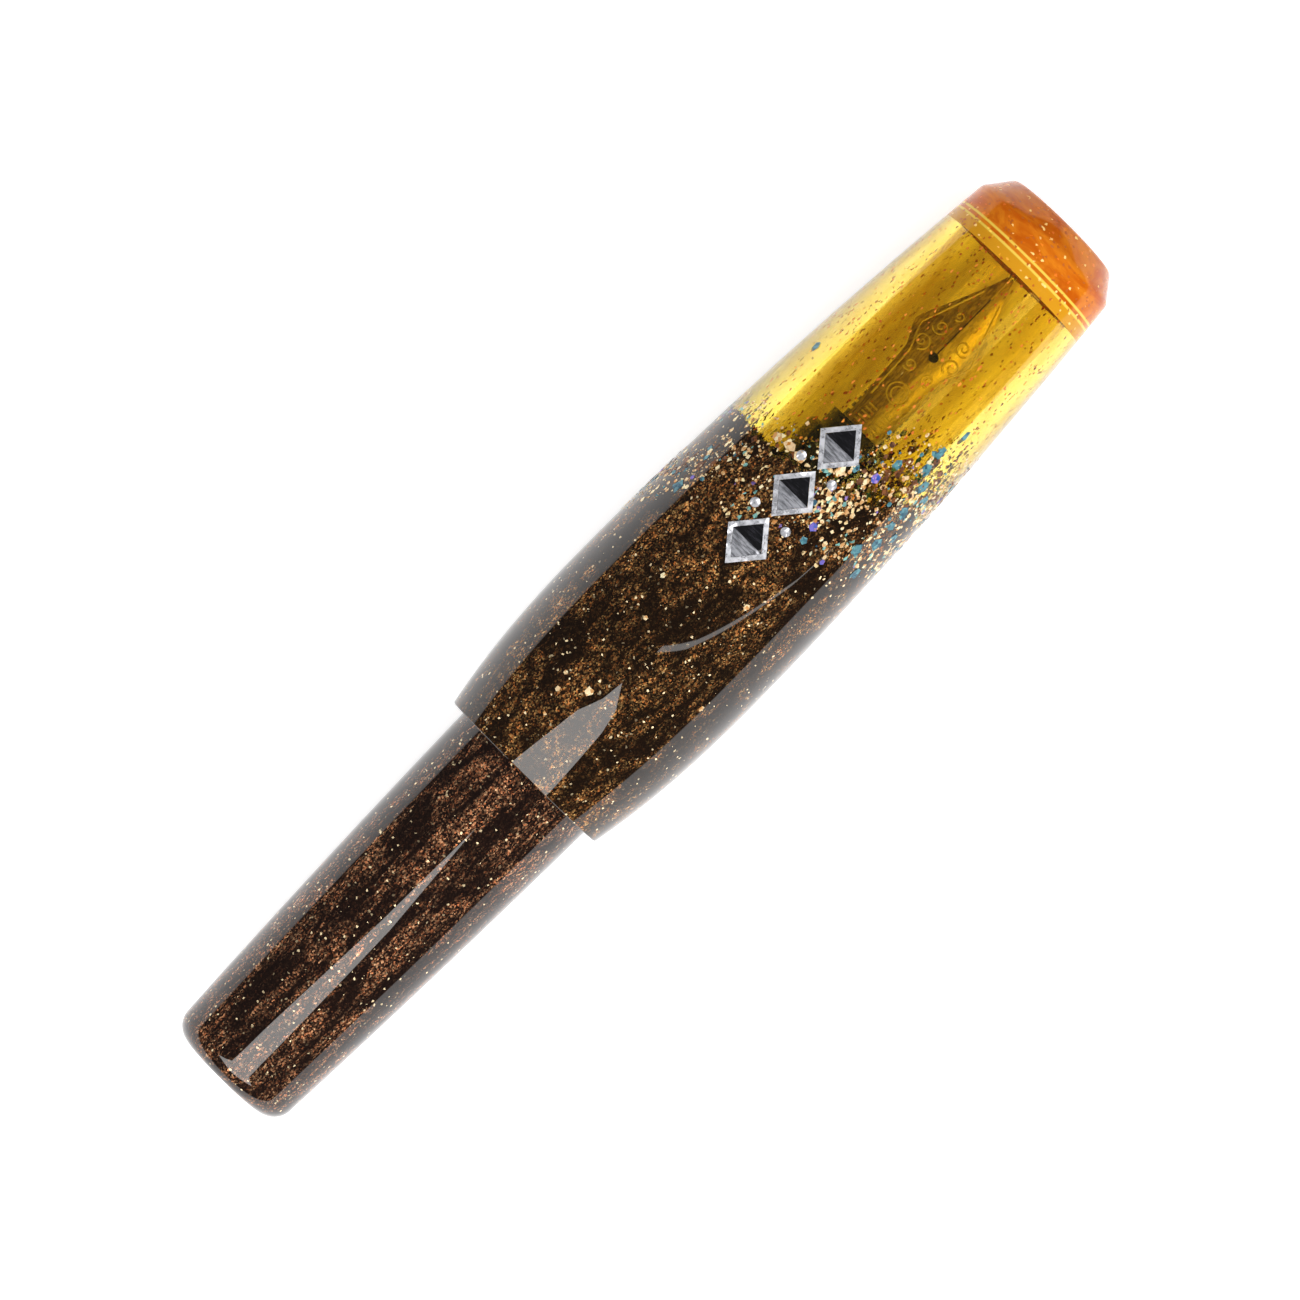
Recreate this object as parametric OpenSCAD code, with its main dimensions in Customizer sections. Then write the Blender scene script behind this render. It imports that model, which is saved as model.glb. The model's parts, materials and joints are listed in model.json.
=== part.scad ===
// Capped pocket fountain pen: clipless cast-resin cap and barrel, steel nib unit, piston converter.
// The pen lies along X with its barrel end at -X and its cap end at +X, resting on Z = 0.

/* [Barrel] */
// Length of the barrel, from its flat end to its mouth
barrel_length = 51.4; // [42:0.1:64]
// Thickness of the closed end of the barrel
barrel_end_wall = 3.2; // [2:0.1:6]
// Wall beside the seal seat at the mouth, where the barrel is widest
barrel_mouth_wall = 0.92; // [0.7:0.02:3]
// Wall beside the bore at the closed end
barrel_tail_wall = 1.1; // [0.8:0.02:3]
// Radius of the rounded edge at the closed end
barrel_end_round = 2; // [1:0.1:3]
// Depth of the thread that joins the barrel to the section
barrel_thread_depth = 0.45; // [0.3:0.05:0.8]
// Length of the threaded tenon inside the barrel mouth
barrel_thread_length = 7.9; // [5:0.1:10]
// Cord diameter of the ring that seals the barrel mouth
seal_cord = 1; // [0.8:0.1:1.5]

/* [Cap] */
// How far the cap skirt reaches back over the barrel
cap_overlap = 13.8; // [8:0.1:18]
// Wall of the cap where it is widest
cap_wall = 2.41; // [1.6:0.05:4]
// Wall at the cap lip
cap_lip_wall = 0.9; // [0.6:0.05:1.5]
// Wall beside the nib chamber at the far end of the cap
cap_end_wall = 1.22; // [1:0.02:2.5]
// Distance from the lip to the widest ring of the cap
cap_widest = 18.4; // [10:0.1:26]
// Bore of the chamber round the grip and nib
cap_bore_d = 12.8; // [10.6:0.1:16]
// Depth of the cap thread
cap_thread_depth = 0.35; // [0.2:0.05:0.6]
// Length of the cap thread on the section
cap_thread_length = 5; // [4:0.1:8]
// Free space between the nib point and the end of the nib chamber
nib_tip_gap = 0.8; // [0.5:0.1:3]

/* [Finial] */
// Length of the finial glued on the cap
finial_length = 6.5; // [5.5:0.1:10]
// How deep the nib chamber runs on into the finial
finial_recess = 1; // [0.5:0.1:2]
// Height of the dome above that recess
finial_dome = 2.2; // [1:0.1:2.5]
// Length of the end bevel, along the pen
finial_bevel = 2.2; // [1:0.1:3]
// Height of the end bevel, across the pen
finial_bevel_drop = 1.85; // [1:0.05:3]

/* [Emblem] */
// Length of one lozenge of the inlay, along the pen
lozenge_length = 5.5; // [3:0.1:7]
// Width of one lozenge, round the cap
lozenge_width = 4.6; // [3:0.1:6]
// Gap between neighbouring lozenges
lozenge_gap = 0.2; // [0.1:0.05:1]
// Width of the silver outline of the inlay
emblem_line = 0.45; // [0.3:0.05:0.8]
// Diameter of the beads between the lozenges
bead_d = 0.9; // [0.6:0.05:1.2]
// Thickness of the inlay
emblem_t = 0.45; // [0.3:0.05:0.8]
// Distance from the cap lip to the middle of the inlay
emblem_from_lip = 33.75; // [20:0.05:36]
// How far the inlay sits off the cap's top line
emblem_side = 0.35; // [-1:0.05:1]

/* [Section and grip] */
// Thickness of the flange between the barrel mouth and the cap thread
flange_t = 0.8; // [0.6:0.1:2]
// How far the flange stands inside the barrel's outer surface
flange_step = 0.3; // [0.1:0.05:0.6]
// Least width of the ring on which the cap seats against the flange
cap_seat = 0.5; // [0.3:0.05:1]
// Length of the grip, from the cap thread to the front face
grip_length = 20.4; // [16:0.1:28]
// Space between the grip and the cap bore, on the radius
grip_space = 0.5; // [0.3:0.05:1]
// How much the grip narrows to its waist, on the radius
grip_taper = 1.95; // [0.3:0.05:2]
// How much the lip of the grip stands above its waist
grip_flare = 0.15; // [0.1:0.05:0.8]

/* [Nib unit] */
// Length of nib in front of the collar
nib_exposed = 18.9; // [15:0.1:23]
// Length of nib tail inside the collar
nib_tail = 8; // [6:0.1:10]
// Width of the nib across its shoulders
nib_width = 7.2; // [6:0.1:9]
// Distance from the nib shoulders to its point
nib_shoulder = 8.2; // [7:0.1:10]
// Thickness of the nib sheet
nib_t = 0.3; // [0.2:0.02:0.4]
// Distance from the breather hole to the nib point
nib_breather = 9.9; // [8:0.1:12]
// Diameter of the breather hole
breather_d = 0.9; // [0.6:0.1:1.4]
// Width of the slit between the tines
nib_slit = 0.12; // [0.08:0.02:0.2]
// Diameter of the hard ball welded to the point
tipping_d = 0.8; // [0.5:0.05:1.2]
// Diameter of the feed
feed_d = 4.5; // [4:0.1:5]
// Number of fins on the feed
feed_fins = 9; // [5:1:12]
// Width of the gap between two fins
fin_gap = 0.35; // [0.25:0.05:0.5]
// Wall of the collar round the nib and feed
collar_wall = 0.45; // [0.4:0.05:1]
// Length of the collar inside the section
collar_length = 15; // [13:0.1:18]
// Length of the collar's front flange
collar_flange_t = 1.8; // [0.4:0.1:2.4]
// How far that flange stands out from the collar's body
collar_flange_step = 0.15; // [0.1:0.05:0.6]
// Diameter of the nipple that the converter pushes onto
nipple_d = 2.6; // [2.2:0.1:3]
// Length of the nipple
nipple_length = 5; // [3:0.1:7]
// Diameter of the ink way through the nipple
ink_way_d = 1.2; // [0.8:0.1:1.6]

/* [Converter] */
// Outer diameter of the ink tube
converter_d = 7.2; // [6.4:0.1:8]
// Wall of the ink tube
tube_wall = 0.7; // [0.5:0.05:1]
// Length of the ink tube
tube_length = 25; // [22:0.1:32]
// Length of the mouthpiece in front of the tube
mouth_length = 1.6; // [1:0.1:3]
// Length of the mouthpiece inside the tube
mouth_spigot = 4.4; // [3:0.1:6]
// Least width of the ring on which the mouthpiece seats against the section
mouth_seat = 0.4; // [0.2:0.05:0.8]
// Length of the metal sleeve behind the tube
sleeve_length = 11; // [9:0.1:14]
// Wall of the metal sleeve
sleeve_wall = 0.3; // [0.2:0.05:0.4]
// Thickness of the closed end of the turning knob
knob_end_wall = 1.5; // [1:0.1:3]
// Number of grooves round the knob
knob_grooves = 20; // [16:1:30]
// Depth of the knob grooves
groove_depth = 0.3; // [0.2:0.05:0.5]
// Diameter of the piston spindle
spindle_d = 2.4; // [2:0.1:3]
// Travel of the piston
piston_stroke = 12; // [8:0.1:13]
// Length of the piston head
piston_length = 3; // [2:0.1:4]
// Width of the sealing ring on the piston
piston_seal_length = 1.4; // [1:0.1:2]

/* [Fits] */
// Clearance of a turning or sliding fit, on the radius
run_clear = 0.05; // [0.03:0.01:0.1]
// Clearance of a pressed or glued joint, on the radius
glue_gap = 0.02; // [0.01:0.01:0.05]
// Space between the barrel and the cap skirt, on the radius
skirt_space = 0.19; // [0.1:0.01:0.5]
// Space between the converter and the section or barrel bore, on the radius
converter_space = 0.4; // [0.2:0.05:1]
// Space between the barrel bore and the section's bore, on the radius
tenon_wall = 1.2; // [0.8:0.05:2]

/* [Hidden] */

$fn = 96;
over = 1;                // How far a cut runs past the face it opens
curve_steps = 16;        // Cone rings along each long outer curve
arc_steps = 8;           // Cone rings round a rounded edge
sleeve_grip = 4;         // Length of tube held in the converter's metal sleeve
sleeve_lip = 0.5;        // Thickness of the lip at the sleeve's rear end
guide_length = 2.4;      // Length of the plug that guides the spindle
piston_rest = 1;         // Space behind the piston when the tube is full

// Radii, each worked out from the piece that it fits round
feed_r = feed_d / 2;
nib_r = feed_r + glue_gap + nib_t;
collar_bore_r = nib_r + glue_gap;
collar_r = collar_bore_r + collar_wall;
nipple_r = nipple_d / 2;
ink_way_r = ink_way_d / 2;
converter_r = converter_d / 2;
tube_bore_r = converter_r - tube_wall;
spindle_r = spindle_d / 2;
sleeve_r = converter_r + glue_gap + sleeve_wall;
mouth_r = max(converter_r, collar_r + glue_gap + mouth_seat);
section_bore_r = mouth_r + converter_space;
tenon_r = section_bore_r + tenon_wall + barrel_thread_depth;
barrel_bore_r = tenon_r - barrel_thread_depth;
barrel_thread_r = tenon_r + run_clear;
seal_inner_r = tenon_r + run_clear;
seal_seat_r = seal_inner_r + seal_cord + glue_gap;
cap_bore_r = cap_bore_d / 2;
cap_thread_r = cap_bore_r + cap_thread_depth;
barrel_max_r = max(seal_seat_r + barrel_mouth_wall, cap_thread_r + cap_seat + flange_step);
barrel_end_r = barrel_bore_r + barrel_tail_wall;
skirt_bore_r = barrel_max_r + skirt_space;
cap_lip_r = skirt_bore_r + cap_lip_wall;
cap_max_r = skirt_bore_r + cap_wall;
cap_end_r = cap_bore_r + cap_end_wall;
flange_r = barrel_max_r - flange_step;
grip_rear_r = cap_bore_r - grip_space;
grip_lip_r = grip_rear_r - grip_taper + grip_flare;

// Places along the pen, measured from the barrel's flat end
x_mouth = barrel_length;
x_tenon = x_mouth - barrel_thread_length;
x_flange = x_mouth + flange_t;
x_thread = x_flange + cap_thread_length;
x_front = x_thread + grip_length;
x_collar = x_front + collar_flange_t;
x_collar_rear = x_front - collar_length;
x_nipple = x_collar_rear - nipple_length;
x_tip = x_collar + nib_exposed;
x_lip = x_mouth - cap_overlap;
x_widest = x_lip + cap_widest;
x_bore_end = x_tip + tipping_d / 2 + nib_tip_gap;
x_joint = x_bore_end - finial_recess;
x_end = x_joint + finial_length;
x_bevel = x_end - finial_bevel;
x_tube = x_collar_rear - mouth_length;
x_tube_rear = x_tube - tube_length;
x_sleeve = x_tube_rear + sleeve_grip;
x_sleeve_rear = x_sleeve - sleeve_length;
x_guide_rear = x_tube_rear - guide_length;
x_nut = x_guide_rear - run_clear;
x_nut_rear = x_sleeve_rear + sleeve_lip + run_clear;
x_knob = x_sleeve_rear - run_clear;
x_piston = x_tube_rear + piston_rest;
x_spindle_rear = x_knob - piston_stroke;
x_knob_rear = x_spindle_rear - run_clear - knob_end_wall;

pen_length = x_end;
axis_height = cap_max_r;

// Outer curves of the cap and barrel: a widest ring with a power-law fall away from it
cap_rear_power = 2.4;
cap_front_power = 1.8;
barrel_power = 1.8;
function fall(from, to, u, power) = from - (from - to) * pow(u, power);
function cap_outer(x) = x < x_widest
    ? fall(cap_max_r, cap_lip_r, (x_widest - x) / (x_widest - x_lip), cap_rear_power)
    : fall(cap_max_r, cap_end_r, (x - x_widest) / (x_bevel - x_widest), cap_front_power);
function cap_curve(x0, x1, steps, inset = 0, first = 0) =
    [for (i = [first:steps]) let (x = x0 + (x1 - x0) * i / steps) [cap_outer(x) - inset, x]];
function barrel_outer(x) =
    fall(barrel_max_r, barrel_end_r, (x_mouth - x) / (x_mouth - barrel_end_round), barrel_power);
// Quarter-round edge of a rod that starts at x = 0
function round_edge(r, radius) =
    [for (i = [0:arc_steps]) let (a = 90 * i / arc_steps)
        [r - radius + radius * sin(a), radius - radius * cos(a)]];

// Places a piece that is drawn about the pen's own axis
module placed() translate([-pen_length / 2, 0, axis_height]) children();
module turned(profile) rotate([0, 90, 0]) rotate_extrude() polygon(profile);
module rod(x0, x1, r) translate([x0, 0, 0]) rotate([0, 90, 0]) cylinder(h = x1 - x0, r = r);
module sleeve(x0, x1, r, bore) {
    difference() {
        rod(x0, x1, r);
        rod(x0 - over, x1 + over, bore);
    }
}

// Barrel: closed shell with a converter bore, a tapped mouth and a seat for the seal
module barrel() {
    outer = [for (i = [1:curve_steps])
        let (x = barrel_end_round + (x_mouth - barrel_end_round) * i / curve_steps)
        [barrel_outer(x), x]];
    color([0.22, 0.12, 0.08]) placed() difference() {
        turned(concat([[0, 0]], round_edge(barrel_end_r, barrel_end_round), outer, [[0, x_mouth]]));
        rod(barrel_end_wall, x_mouth + over, barrel_bore_r);
        rod(x_tenon - over, x_mouth + over, barrel_thread_r);
        rod(x_mouth - seal_cord - run_clear, x_mouth + over, seal_seat_r);
    }
}

// Seal: a rubber ring that stays in the barrel mouth and meets the section's flange
module barrel_seal() {
    color([0.05, 0.05, 0.05]) placed()
        translate([x_mouth - seal_cord / 2, 0, 0]) rotate([0, 90, 0]) rotate_extrude()
            translate([seal_inner_r + seal_cord / 2, 0]) circle(d = seal_cord, $fn = 32);
}

// Inlay seen from above: lozenges in a row with beads in the notches between them
lozenge_pitch = lozenge_length + lozenge_gap;
x_emblem = x_lip + emblem_from_lip;
emblem_reach = 2 * lozenge_pitch;
module inlay_lozenges(inset) {
    shrink = 1 - 2 * inset * sqrt(1 / pow(lozenge_length, 2) + 1 / pow(lozenge_width, 2));
    half_l = lozenge_length / 2 * shrink;
    half_w = lozenge_width / 2 * shrink;
    for (i = [-1:1]) translate([i * lozenge_pitch, 0])
        polygon([[-half_l, 0], [0, half_w], [half_l, 0], [0, -half_w]]);
}
module inlay_beads(inset) {
    for (i = [-0.5, 0.5], side = [-1, 1])
        translate([i * lozenge_pitch, side * (lozenge_width - bead_d) / 2])
            circle(d = bead_d - 2 * inset, $fn = 32);
}
// The upright prism over a flat outline, down to a given depth below the cap's outer surface
module above_skin(depth) {
    difference() {
        translate([x_emblem, emblem_side, 0]) linear_extrude(height = cap_max_r + over) children();
        turned(concat([[0, x_emblem - emblem_reach]],
            cap_curve(x_emblem - emblem_reach, x_emblem + emblem_reach, curve_steps, depth),
            [[0, x_emblem + emblem_reach]]));
    }
}
// The part of that prism which lies inside the cap's outer surface
module in_skin(depth) {
    intersection() {
        above_skin(depth) children();
        turned(concat([[0, x_emblem - emblem_reach]],
            cap_curve(x_emblem - emblem_reach, x_emblem + emblem_reach, curve_steps),
            [[0, x_emblem + emblem_reach]]));
    }
}

// Cap shell: skirt over the barrel, tapped ring, nib chamber open at both ends, inlay pockets
module cap_shell() {
    rear = cap_curve(x_lip, x_widest, curve_steps);
    front = cap_curve(x_widest, x_joint, curve_steps, first = 1);
    color([0.8, 0.62, 0.15, 0.6]) placed() difference() {
        turned(concat([[0, x_lip]], rear, front, [[0, x_joint]]));
        rod(x_lip - over, x_flange, skirt_bore_r);
        rod(x_flange - over, x_thread + run_clear, cap_thread_r + run_clear);
        rod(x_thread, x_joint + over, cap_bore_r);
        above_skin(emblem_t + glue_gap) {
            inlay_lozenges(-glue_gap);
            inlay_beads(-glue_gap);
        }
    }
}

// Finial: end block of another resin, glued on the cap, with the end of the nib chamber in it
module cap_finial() {
    outer = cap_curve(x_joint, x_bevel, arc_steps);
    dome_r = (pow(cap_bore_r, 2) + pow(finial_dome, 2)) / (2 * finial_dome);
    dome_angle = asin(cap_bore_r / dome_r);
    x_dome = x_bore_end + finial_dome - dome_r;
    dome = [for (i = [0:arc_steps]) let (a = dome_angle * i / arc_steps)
        [dome_r * sin(a), x_dome + dome_r * cos(a)]];
    color([0.9, 0.5, 0.12, 0.8]) placed() turned(concat(
        [[cap_bore_r, x_joint]], outer,
        [[cap_end_r - finial_bevel_drop, x_end], [0, x_end]], dome));
}

// Emblem: silver outlines and beads let into the cap
module cap_emblem() {
    color([0.85, 0.85, 0.85]) placed() in_skin(emblem_t) {
        difference() {
            inlay_lozenges(0);
            inlay_lozenges(emblem_line);
        }
        inlay_beads(0);
    }
}

// Enamel: the dark filling of the silver outlines
module emblem_enamel() {
    color([0.04, 0.04, 0.04]) placed() in_skin(emblem_t) inlay_lozenges(emblem_line + glue_gap);
}

// Section: tenon into the barrel, flange, cap thread and waisted grip, bored for converter and collar
grip_edge = 0.5;         // Radius of the grip's front edge
waist_at = 0.8;          // Place of the waist, as a share of the grip
function grip_outer(u) = grip_rear_r - grip_taper * sin(90 * min(u / waist_at, 1))
    + grip_flare * pow(max(u - waist_at, 0) / (1 - waist_at), 2);
module grip_section() {
    grip = [for (i = [0:curve_steps]) let (u = i / curve_steps)
        [grip_outer(u), x_thread + (grip_length - grip_edge) * u]];
    edge = [for (i = [1:arc_steps]) let (a = 90 * i / arc_steps)
        [grip_lip_r - grip_edge + grip_edge * cos(a), x_front - grip_edge + grip_edge * sin(a)]];
    color([0.12, 0.08, 0.06]) placed() difference() {
        turned(concat(
            [[0, x_tenon], [tenon_r, x_tenon], [tenon_r, x_mouth], [flange_r, x_mouth],
                [flange_r, x_flange], [cap_thread_r, x_flange], [cap_thread_r, x_thread]],
            grip, edge, [[0, x_front]]));
        rod(x_tenon - over, x_collar_rear, section_bore_r);
        rod(x_collar_rear - over, x_front + over, collar_r + glue_gap);
    }
}

// Nib: a thin sheet, arched across the pen, drawn as rings of points from tail to point
nib_rings = 36;
nib_across = 8;
nib_neck = 2.9;          // Length over which the shoulders swell
nib_tail_half = 1.85;    // Half width of the tail
nib_neck_half = 2.4;     // Half width just behind the shoulders
nib_tip_half = 0.25;     // Half width at the point
shoulder_arch = 4.2;     // Arch radius at the shoulders
nib_droop = 1.5;         // How far the top line falls towards the point
droop_power = 1.6;       // How sharply it falls
edge_power = 1.15;       // How hollow the edges run from the shoulders to the point
fin_t = 0.4;             // Thickness of one fin
fin_pitch = fin_gap + fin_t; // Distance from one fin gap to the next
feed_full = 1 + feed_fins * fin_pitch;
x_shoulder = x_tip - nib_shoulder;
x_neck = x_shoulder - nib_neck;
x_sheet = x_tip - tipping_d / 3;
function share(x, x0, x1) = min(max((x - x0) / (x1 - x0), 0), 1);
function ease(u) = u * u * (3 - 2 * u);
function nib_half(x) = x < x_neck
    ? nib_tail_half + (nib_neck_half - nib_tail_half) * share(x, x_collar, x_neck)
    : x < x_shoulder
    ? nib_neck_half + (nib_width / 2 - nib_neck_half) * ease(share(x, x_neck, x_shoulder))
    : nib_tip_half + (nib_width / 2 - nib_tip_half) * pow(1 - share(x, x_shoulder, x_tip), edge_power);
function nib_arch(x) = x < x_shoulder
    ? nib_r + (shoulder_arch - nib_r) * ease(share(x, x_collar, x_shoulder))
    : shoulder_arch + (nib_r - shoulder_arch) * share(x, x_shoulder, x_tip);
function nib_top(x) = nib_r - nib_droop * pow(share(x, x_collar + feed_full, x_tip), droop_power);
function nib_row(x, r) = let (a = asin(nib_half(x) / nib_arch(x)), drop = nib_top(x) - nib_arch(x))
    [for (j = [0:nib_across]) let (t = a * (2 * j / nib_across - 1))
        [x, r * sin(t), drop + r * cos(t)]];
module nib() {
    x_tail = x_collar - nib_tail;
    row = 2 * (nib_across + 1);
    points = [for (i = [0:nib_rings])
        let (x = x_tail + (x_sheet - x_tail) * i / nib_rings, inner = nib_row(x, nib_arch(x) - nib_t))
        each concat(nib_row(x, nib_arch(x)), [for (j = [nib_across:-1:0]) inner[j]])];
    sides = [for (i = [0:nib_rings - 1], j = [0:row - 1])
        let (k = (j + 1) % row) each [
            [i * row + j, i * row + k, (i + 1) * row + k],
            [i * row + j, (i + 1) * row + k, (i + 1) * row + j]]];
    ends = [for (j = [0:nib_across - 1]) let (m = row - 1 - j, last = nib_rings * row) each [
        [j, m, m - 1], [j, m - 1, j + 1],
        [last + j, last + m - 1, last + m], [last + j, last + j + 1, last + m - 1]]];
    color([0.75, 0.72, 0.66]) placed() difference() {
        polyhedron(points = points, faces = concat(sides, ends), convexity = 4);
        translate([x_tip - nib_breather, 0, 0]) cylinder(d = breather_d, h = cap_bore_r);
        translate([x_tip - nib_breather, -nib_slit / 2, -feed_r])
            cube([nib_breather + over, nib_slit, 2 * cap_bore_r]);
    }
}

// Tipping: the hard ball at the point, split by the slit
module nib_tipping() {
    color([0.8, 0.8, 0.8]) placed() difference() {
        translate([x_tip, 0, nib_top(x_tip) - nib_t / 2]) sphere(d = tipping_d, $fn = 32);
        translate([x_sheet - tipping_d, -tipping_d, -feed_r]) cube([tipping_d, 2 * tipping_d, 2 * feed_d]);
        translate([x_sheet - over, -nib_slit / 2, -feed_r]) cube([2 * over, nib_slit, 2 * feed_d]);
    }
}

// Feed: finned rod under the nib, with an ink channel along its top
feed_point_r = 0.5;      // Radius of the feed's front end
feed_short = 2.73;       // How far the feed ends behind the nib's point
feed_drop = 0.1;         // Gap between the feed's front end and the nib
feed_start = 2;          // Distance from the collar's rear end to the feed
channel_w = 0.6;         // Width and depth of the ink channel
fin_root_r = feed_r * 0.6; // Radius of the feed between two fins
fin_top = feed_r / 2;    // Height up to which the fins are cut
land_top = feed_r / 3;   // Height of the land under the nib's tail
module feed() {
    x_full = x_collar + feed_full;
    x_feed_tip = x_tip - feed_short;
    x_feed_rear = x_collar_rear + feed_start;
    color([0.06, 0.06, 0.06]) placed() difference() {
        union() {
            rod(x_feed_rear, x_full, feed_r);
            hull() {
                rod(x_full - fin_gap, x_full, feed_r, $fn = 32);
                translate([0, 0, nib_top(x_feed_tip) - nib_t - feed_point_r - feed_drop])
                    rod(x_feed_tip - fin_gap, x_feed_tip, feed_point_r, $fn = 32);
            }
            // Land under the nib's tail, which fills the collar's bore
            intersection() {
                rod(x_feed_rear, x_collar, collar_bore_r - glue_gap);
                translate([x_feed_rear, -feed_d, -feed_d])
                    cube([collar_length, 2 * feed_d, feed_d + land_top]);
            }
        }
        translate([x_feed_rear - over, -channel_w / 2, feed_r - channel_w])
            cube([x_full - x_feed_rear, channel_w, 2 * channel_w]);
        for (i = [1:feed_fins]) intersection() {
            sleeve(x_collar + i * fin_pitch, x_collar + i * fin_pitch + fin_gap, feed_d, fin_root_r);
            translate([x_collar, -feed_d, -2 * feed_d])
                cube([nib_exposed, 2 * feed_d, 2 * feed_d + fin_top]);
        }
    }
}

// Collar: housing that holds nib and feed in the section and carries the nipple
module nib_collar() {
    color([0.1, 0.1, 0.1]) placed() difference() {
        union() {
            rod(x_nipple, x_collar_rear + over, nipple_r);
            rod(x_collar_rear, x_front, collar_r);
            rod(x_front, x_collar, collar_r + collar_flange_step);
        }
        rod(x_nipple - over, x_collar, ink_way_r);
        rod(x_collar_rear + over, x_collar + over, collar_bore_r);
    }
}

// Mouthpiece: closes the front of the ink tube and grips the nipple
module converter_mouth() {
    color([0.08, 0.08, 0.08]) placed() difference() {
        union() {
            rod(x_tube, x_collar_rear, mouth_r);
            rod(x_tube - mouth_spigot, x_tube, tube_bore_r - glue_gap);
        }
        rod(x_nipple - glue_gap, x_collar_rear + over, nipple_r + glue_gap);
        rod(x_tube - mouth_spigot - over, x_collar_rear, ink_way_r);
    }
}

// Ink tube: clear, open at both ends
module converter_tube() {
    color([0.85, 0.9, 0.95, 0.5]) placed() sleeve(x_tube_rear, x_tube, converter_r, tube_bore_r);
}

// Sleeve: metal jacket that joins the tube to the guide and nut, with a lip behind the nut
neck_step = 1;           // How far the nut's neck is turned down
neck_r = converter_r - neck_step;
module converter_sleeve() {
    color([0.72, 0.72, 0.74]) placed() difference() {
        rod(x_sleeve_rear, x_sleeve, sleeve_r);
        rod(x_sleeve_rear + sleeve_lip, x_sleeve + over, converter_r + glue_gap);
        rod(x_sleeve_rear - over, x_sleeve, neck_r + run_clear);
    }
}

// Guide: fixed plug whose flatted hole stops the spindle from turning
flat_share = 0.8;        // Distance of the spindle's flats from its axis, as a share of its radius
flat_r = spindle_r * flat_share;
module flatted(x0, x1, gap) {
    intersection() {
        rod(x0, x1, spindle_r + gap);
        translate([x0, -flat_r - gap, -spindle_d]) cube([x1 - x0, 2 * (flat_r + gap), 2 * spindle_d]);
    }
}
module spindle_guide() {
    color([0.2, 0.2, 0.22]) placed() difference() {
        rod(x_guide_rear, x_tube_rear, converter_r);
        flatted(x_guide_rear - over, x_tube_rear + over, run_clear);
    }
}

// Nut: turns with the knob behind the guide and drives the spindle
knob_grip = 2.5;         // Length of the nut's neck inside the knob
module spindle_nut() {
    color([0.3, 0.3, 0.32]) placed() difference() {
        union() {
            rod(x_nut_rear, x_nut, converter_r + glue_gap - run_clear);
            rod(x_knob - knob_grip, x_nut_rear + over, neck_r);
        }
        rod(x_knob - knob_grip - over, x_nut + over, spindle_r + run_clear);
    }
}

// Knob: grooved, hollow for the spindle, closed at its rear end
module converter_knob() {
    color([0.1, 0.1, 0.1]) placed() difference() {
        translate([x_knob_rear, 0, 0]) rotate([0, 90, 0]) linear_extrude(height = x_knob - x_knob_rear)
            difference() {
                circle(r = converter_r);
                for (i = [0:knob_grooves - 1]) rotate(i * 360 / knob_grooves)
                    translate([converter_r, 0]) circle(r = groove_depth, $fn = 16);
            }
        rod(x_knob_rear + knob_end_wall, x_knob + over, spindle_r + run_clear);
        rod(x_knob - knob_grip - glue_gap, x_knob + over, neck_r + glue_gap);
    }
}

// Spindle: flatted rod that carries the piston
core_share = 0.6;        // Radius of the piston's groove, as a share of the tube's bore
piston_core_r = tube_bore_r * core_share;
module spindle() {
    color([0.75, 0.75, 0.78]) placed() flatted(x_spindle_rear, x_piston + piston_length / 2, 0);
}

// Piston head: spool on the spindle's front end, with a groove for the sealing ring
module piston_head() {
    groove_x = x_piston + (piston_length - piston_seal_length) / 2;
    color([0.15, 0.15, 0.17]) placed() difference() {
        rod(x_piston, x_piston + piston_length, tube_bore_r - 3 * run_clear);
        sleeve(groove_x, groove_x + piston_seal_length, tube_bore_r, piston_core_r);
        flatted(x_piston - over, x_piston + piston_length / 2 + glue_gap, glue_gap);
    }
}

// Sealing ring: slides along the tube's bore
module piston_seal() {
    ring_x = x_piston + (piston_length - piston_seal_length) / 2 + glue_gap;
    color([0.05, 0.05, 0.05]) placed()
        sleeve(ring_x, ring_x + piston_seal_length - 2 * glue_gap, tube_bore_r - run_clear,
            piston_core_r + glue_gap);
}

barrel();
barrel_seal();
cap_shell();
cap_finial();
cap_emblem();
emblem_enamel();
grip_section();
nib();
nib_tipping();
feed();
nib_collar();
converter_mouth();
converter_tube();
converter_sleeve();
spindle_guide();
spindle_nut();
converter_knob();
spindle();
piston_head();
piston_seal();
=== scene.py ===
import json
import math
import random

import bpy
from mathutils import Matrix, Vector

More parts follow.
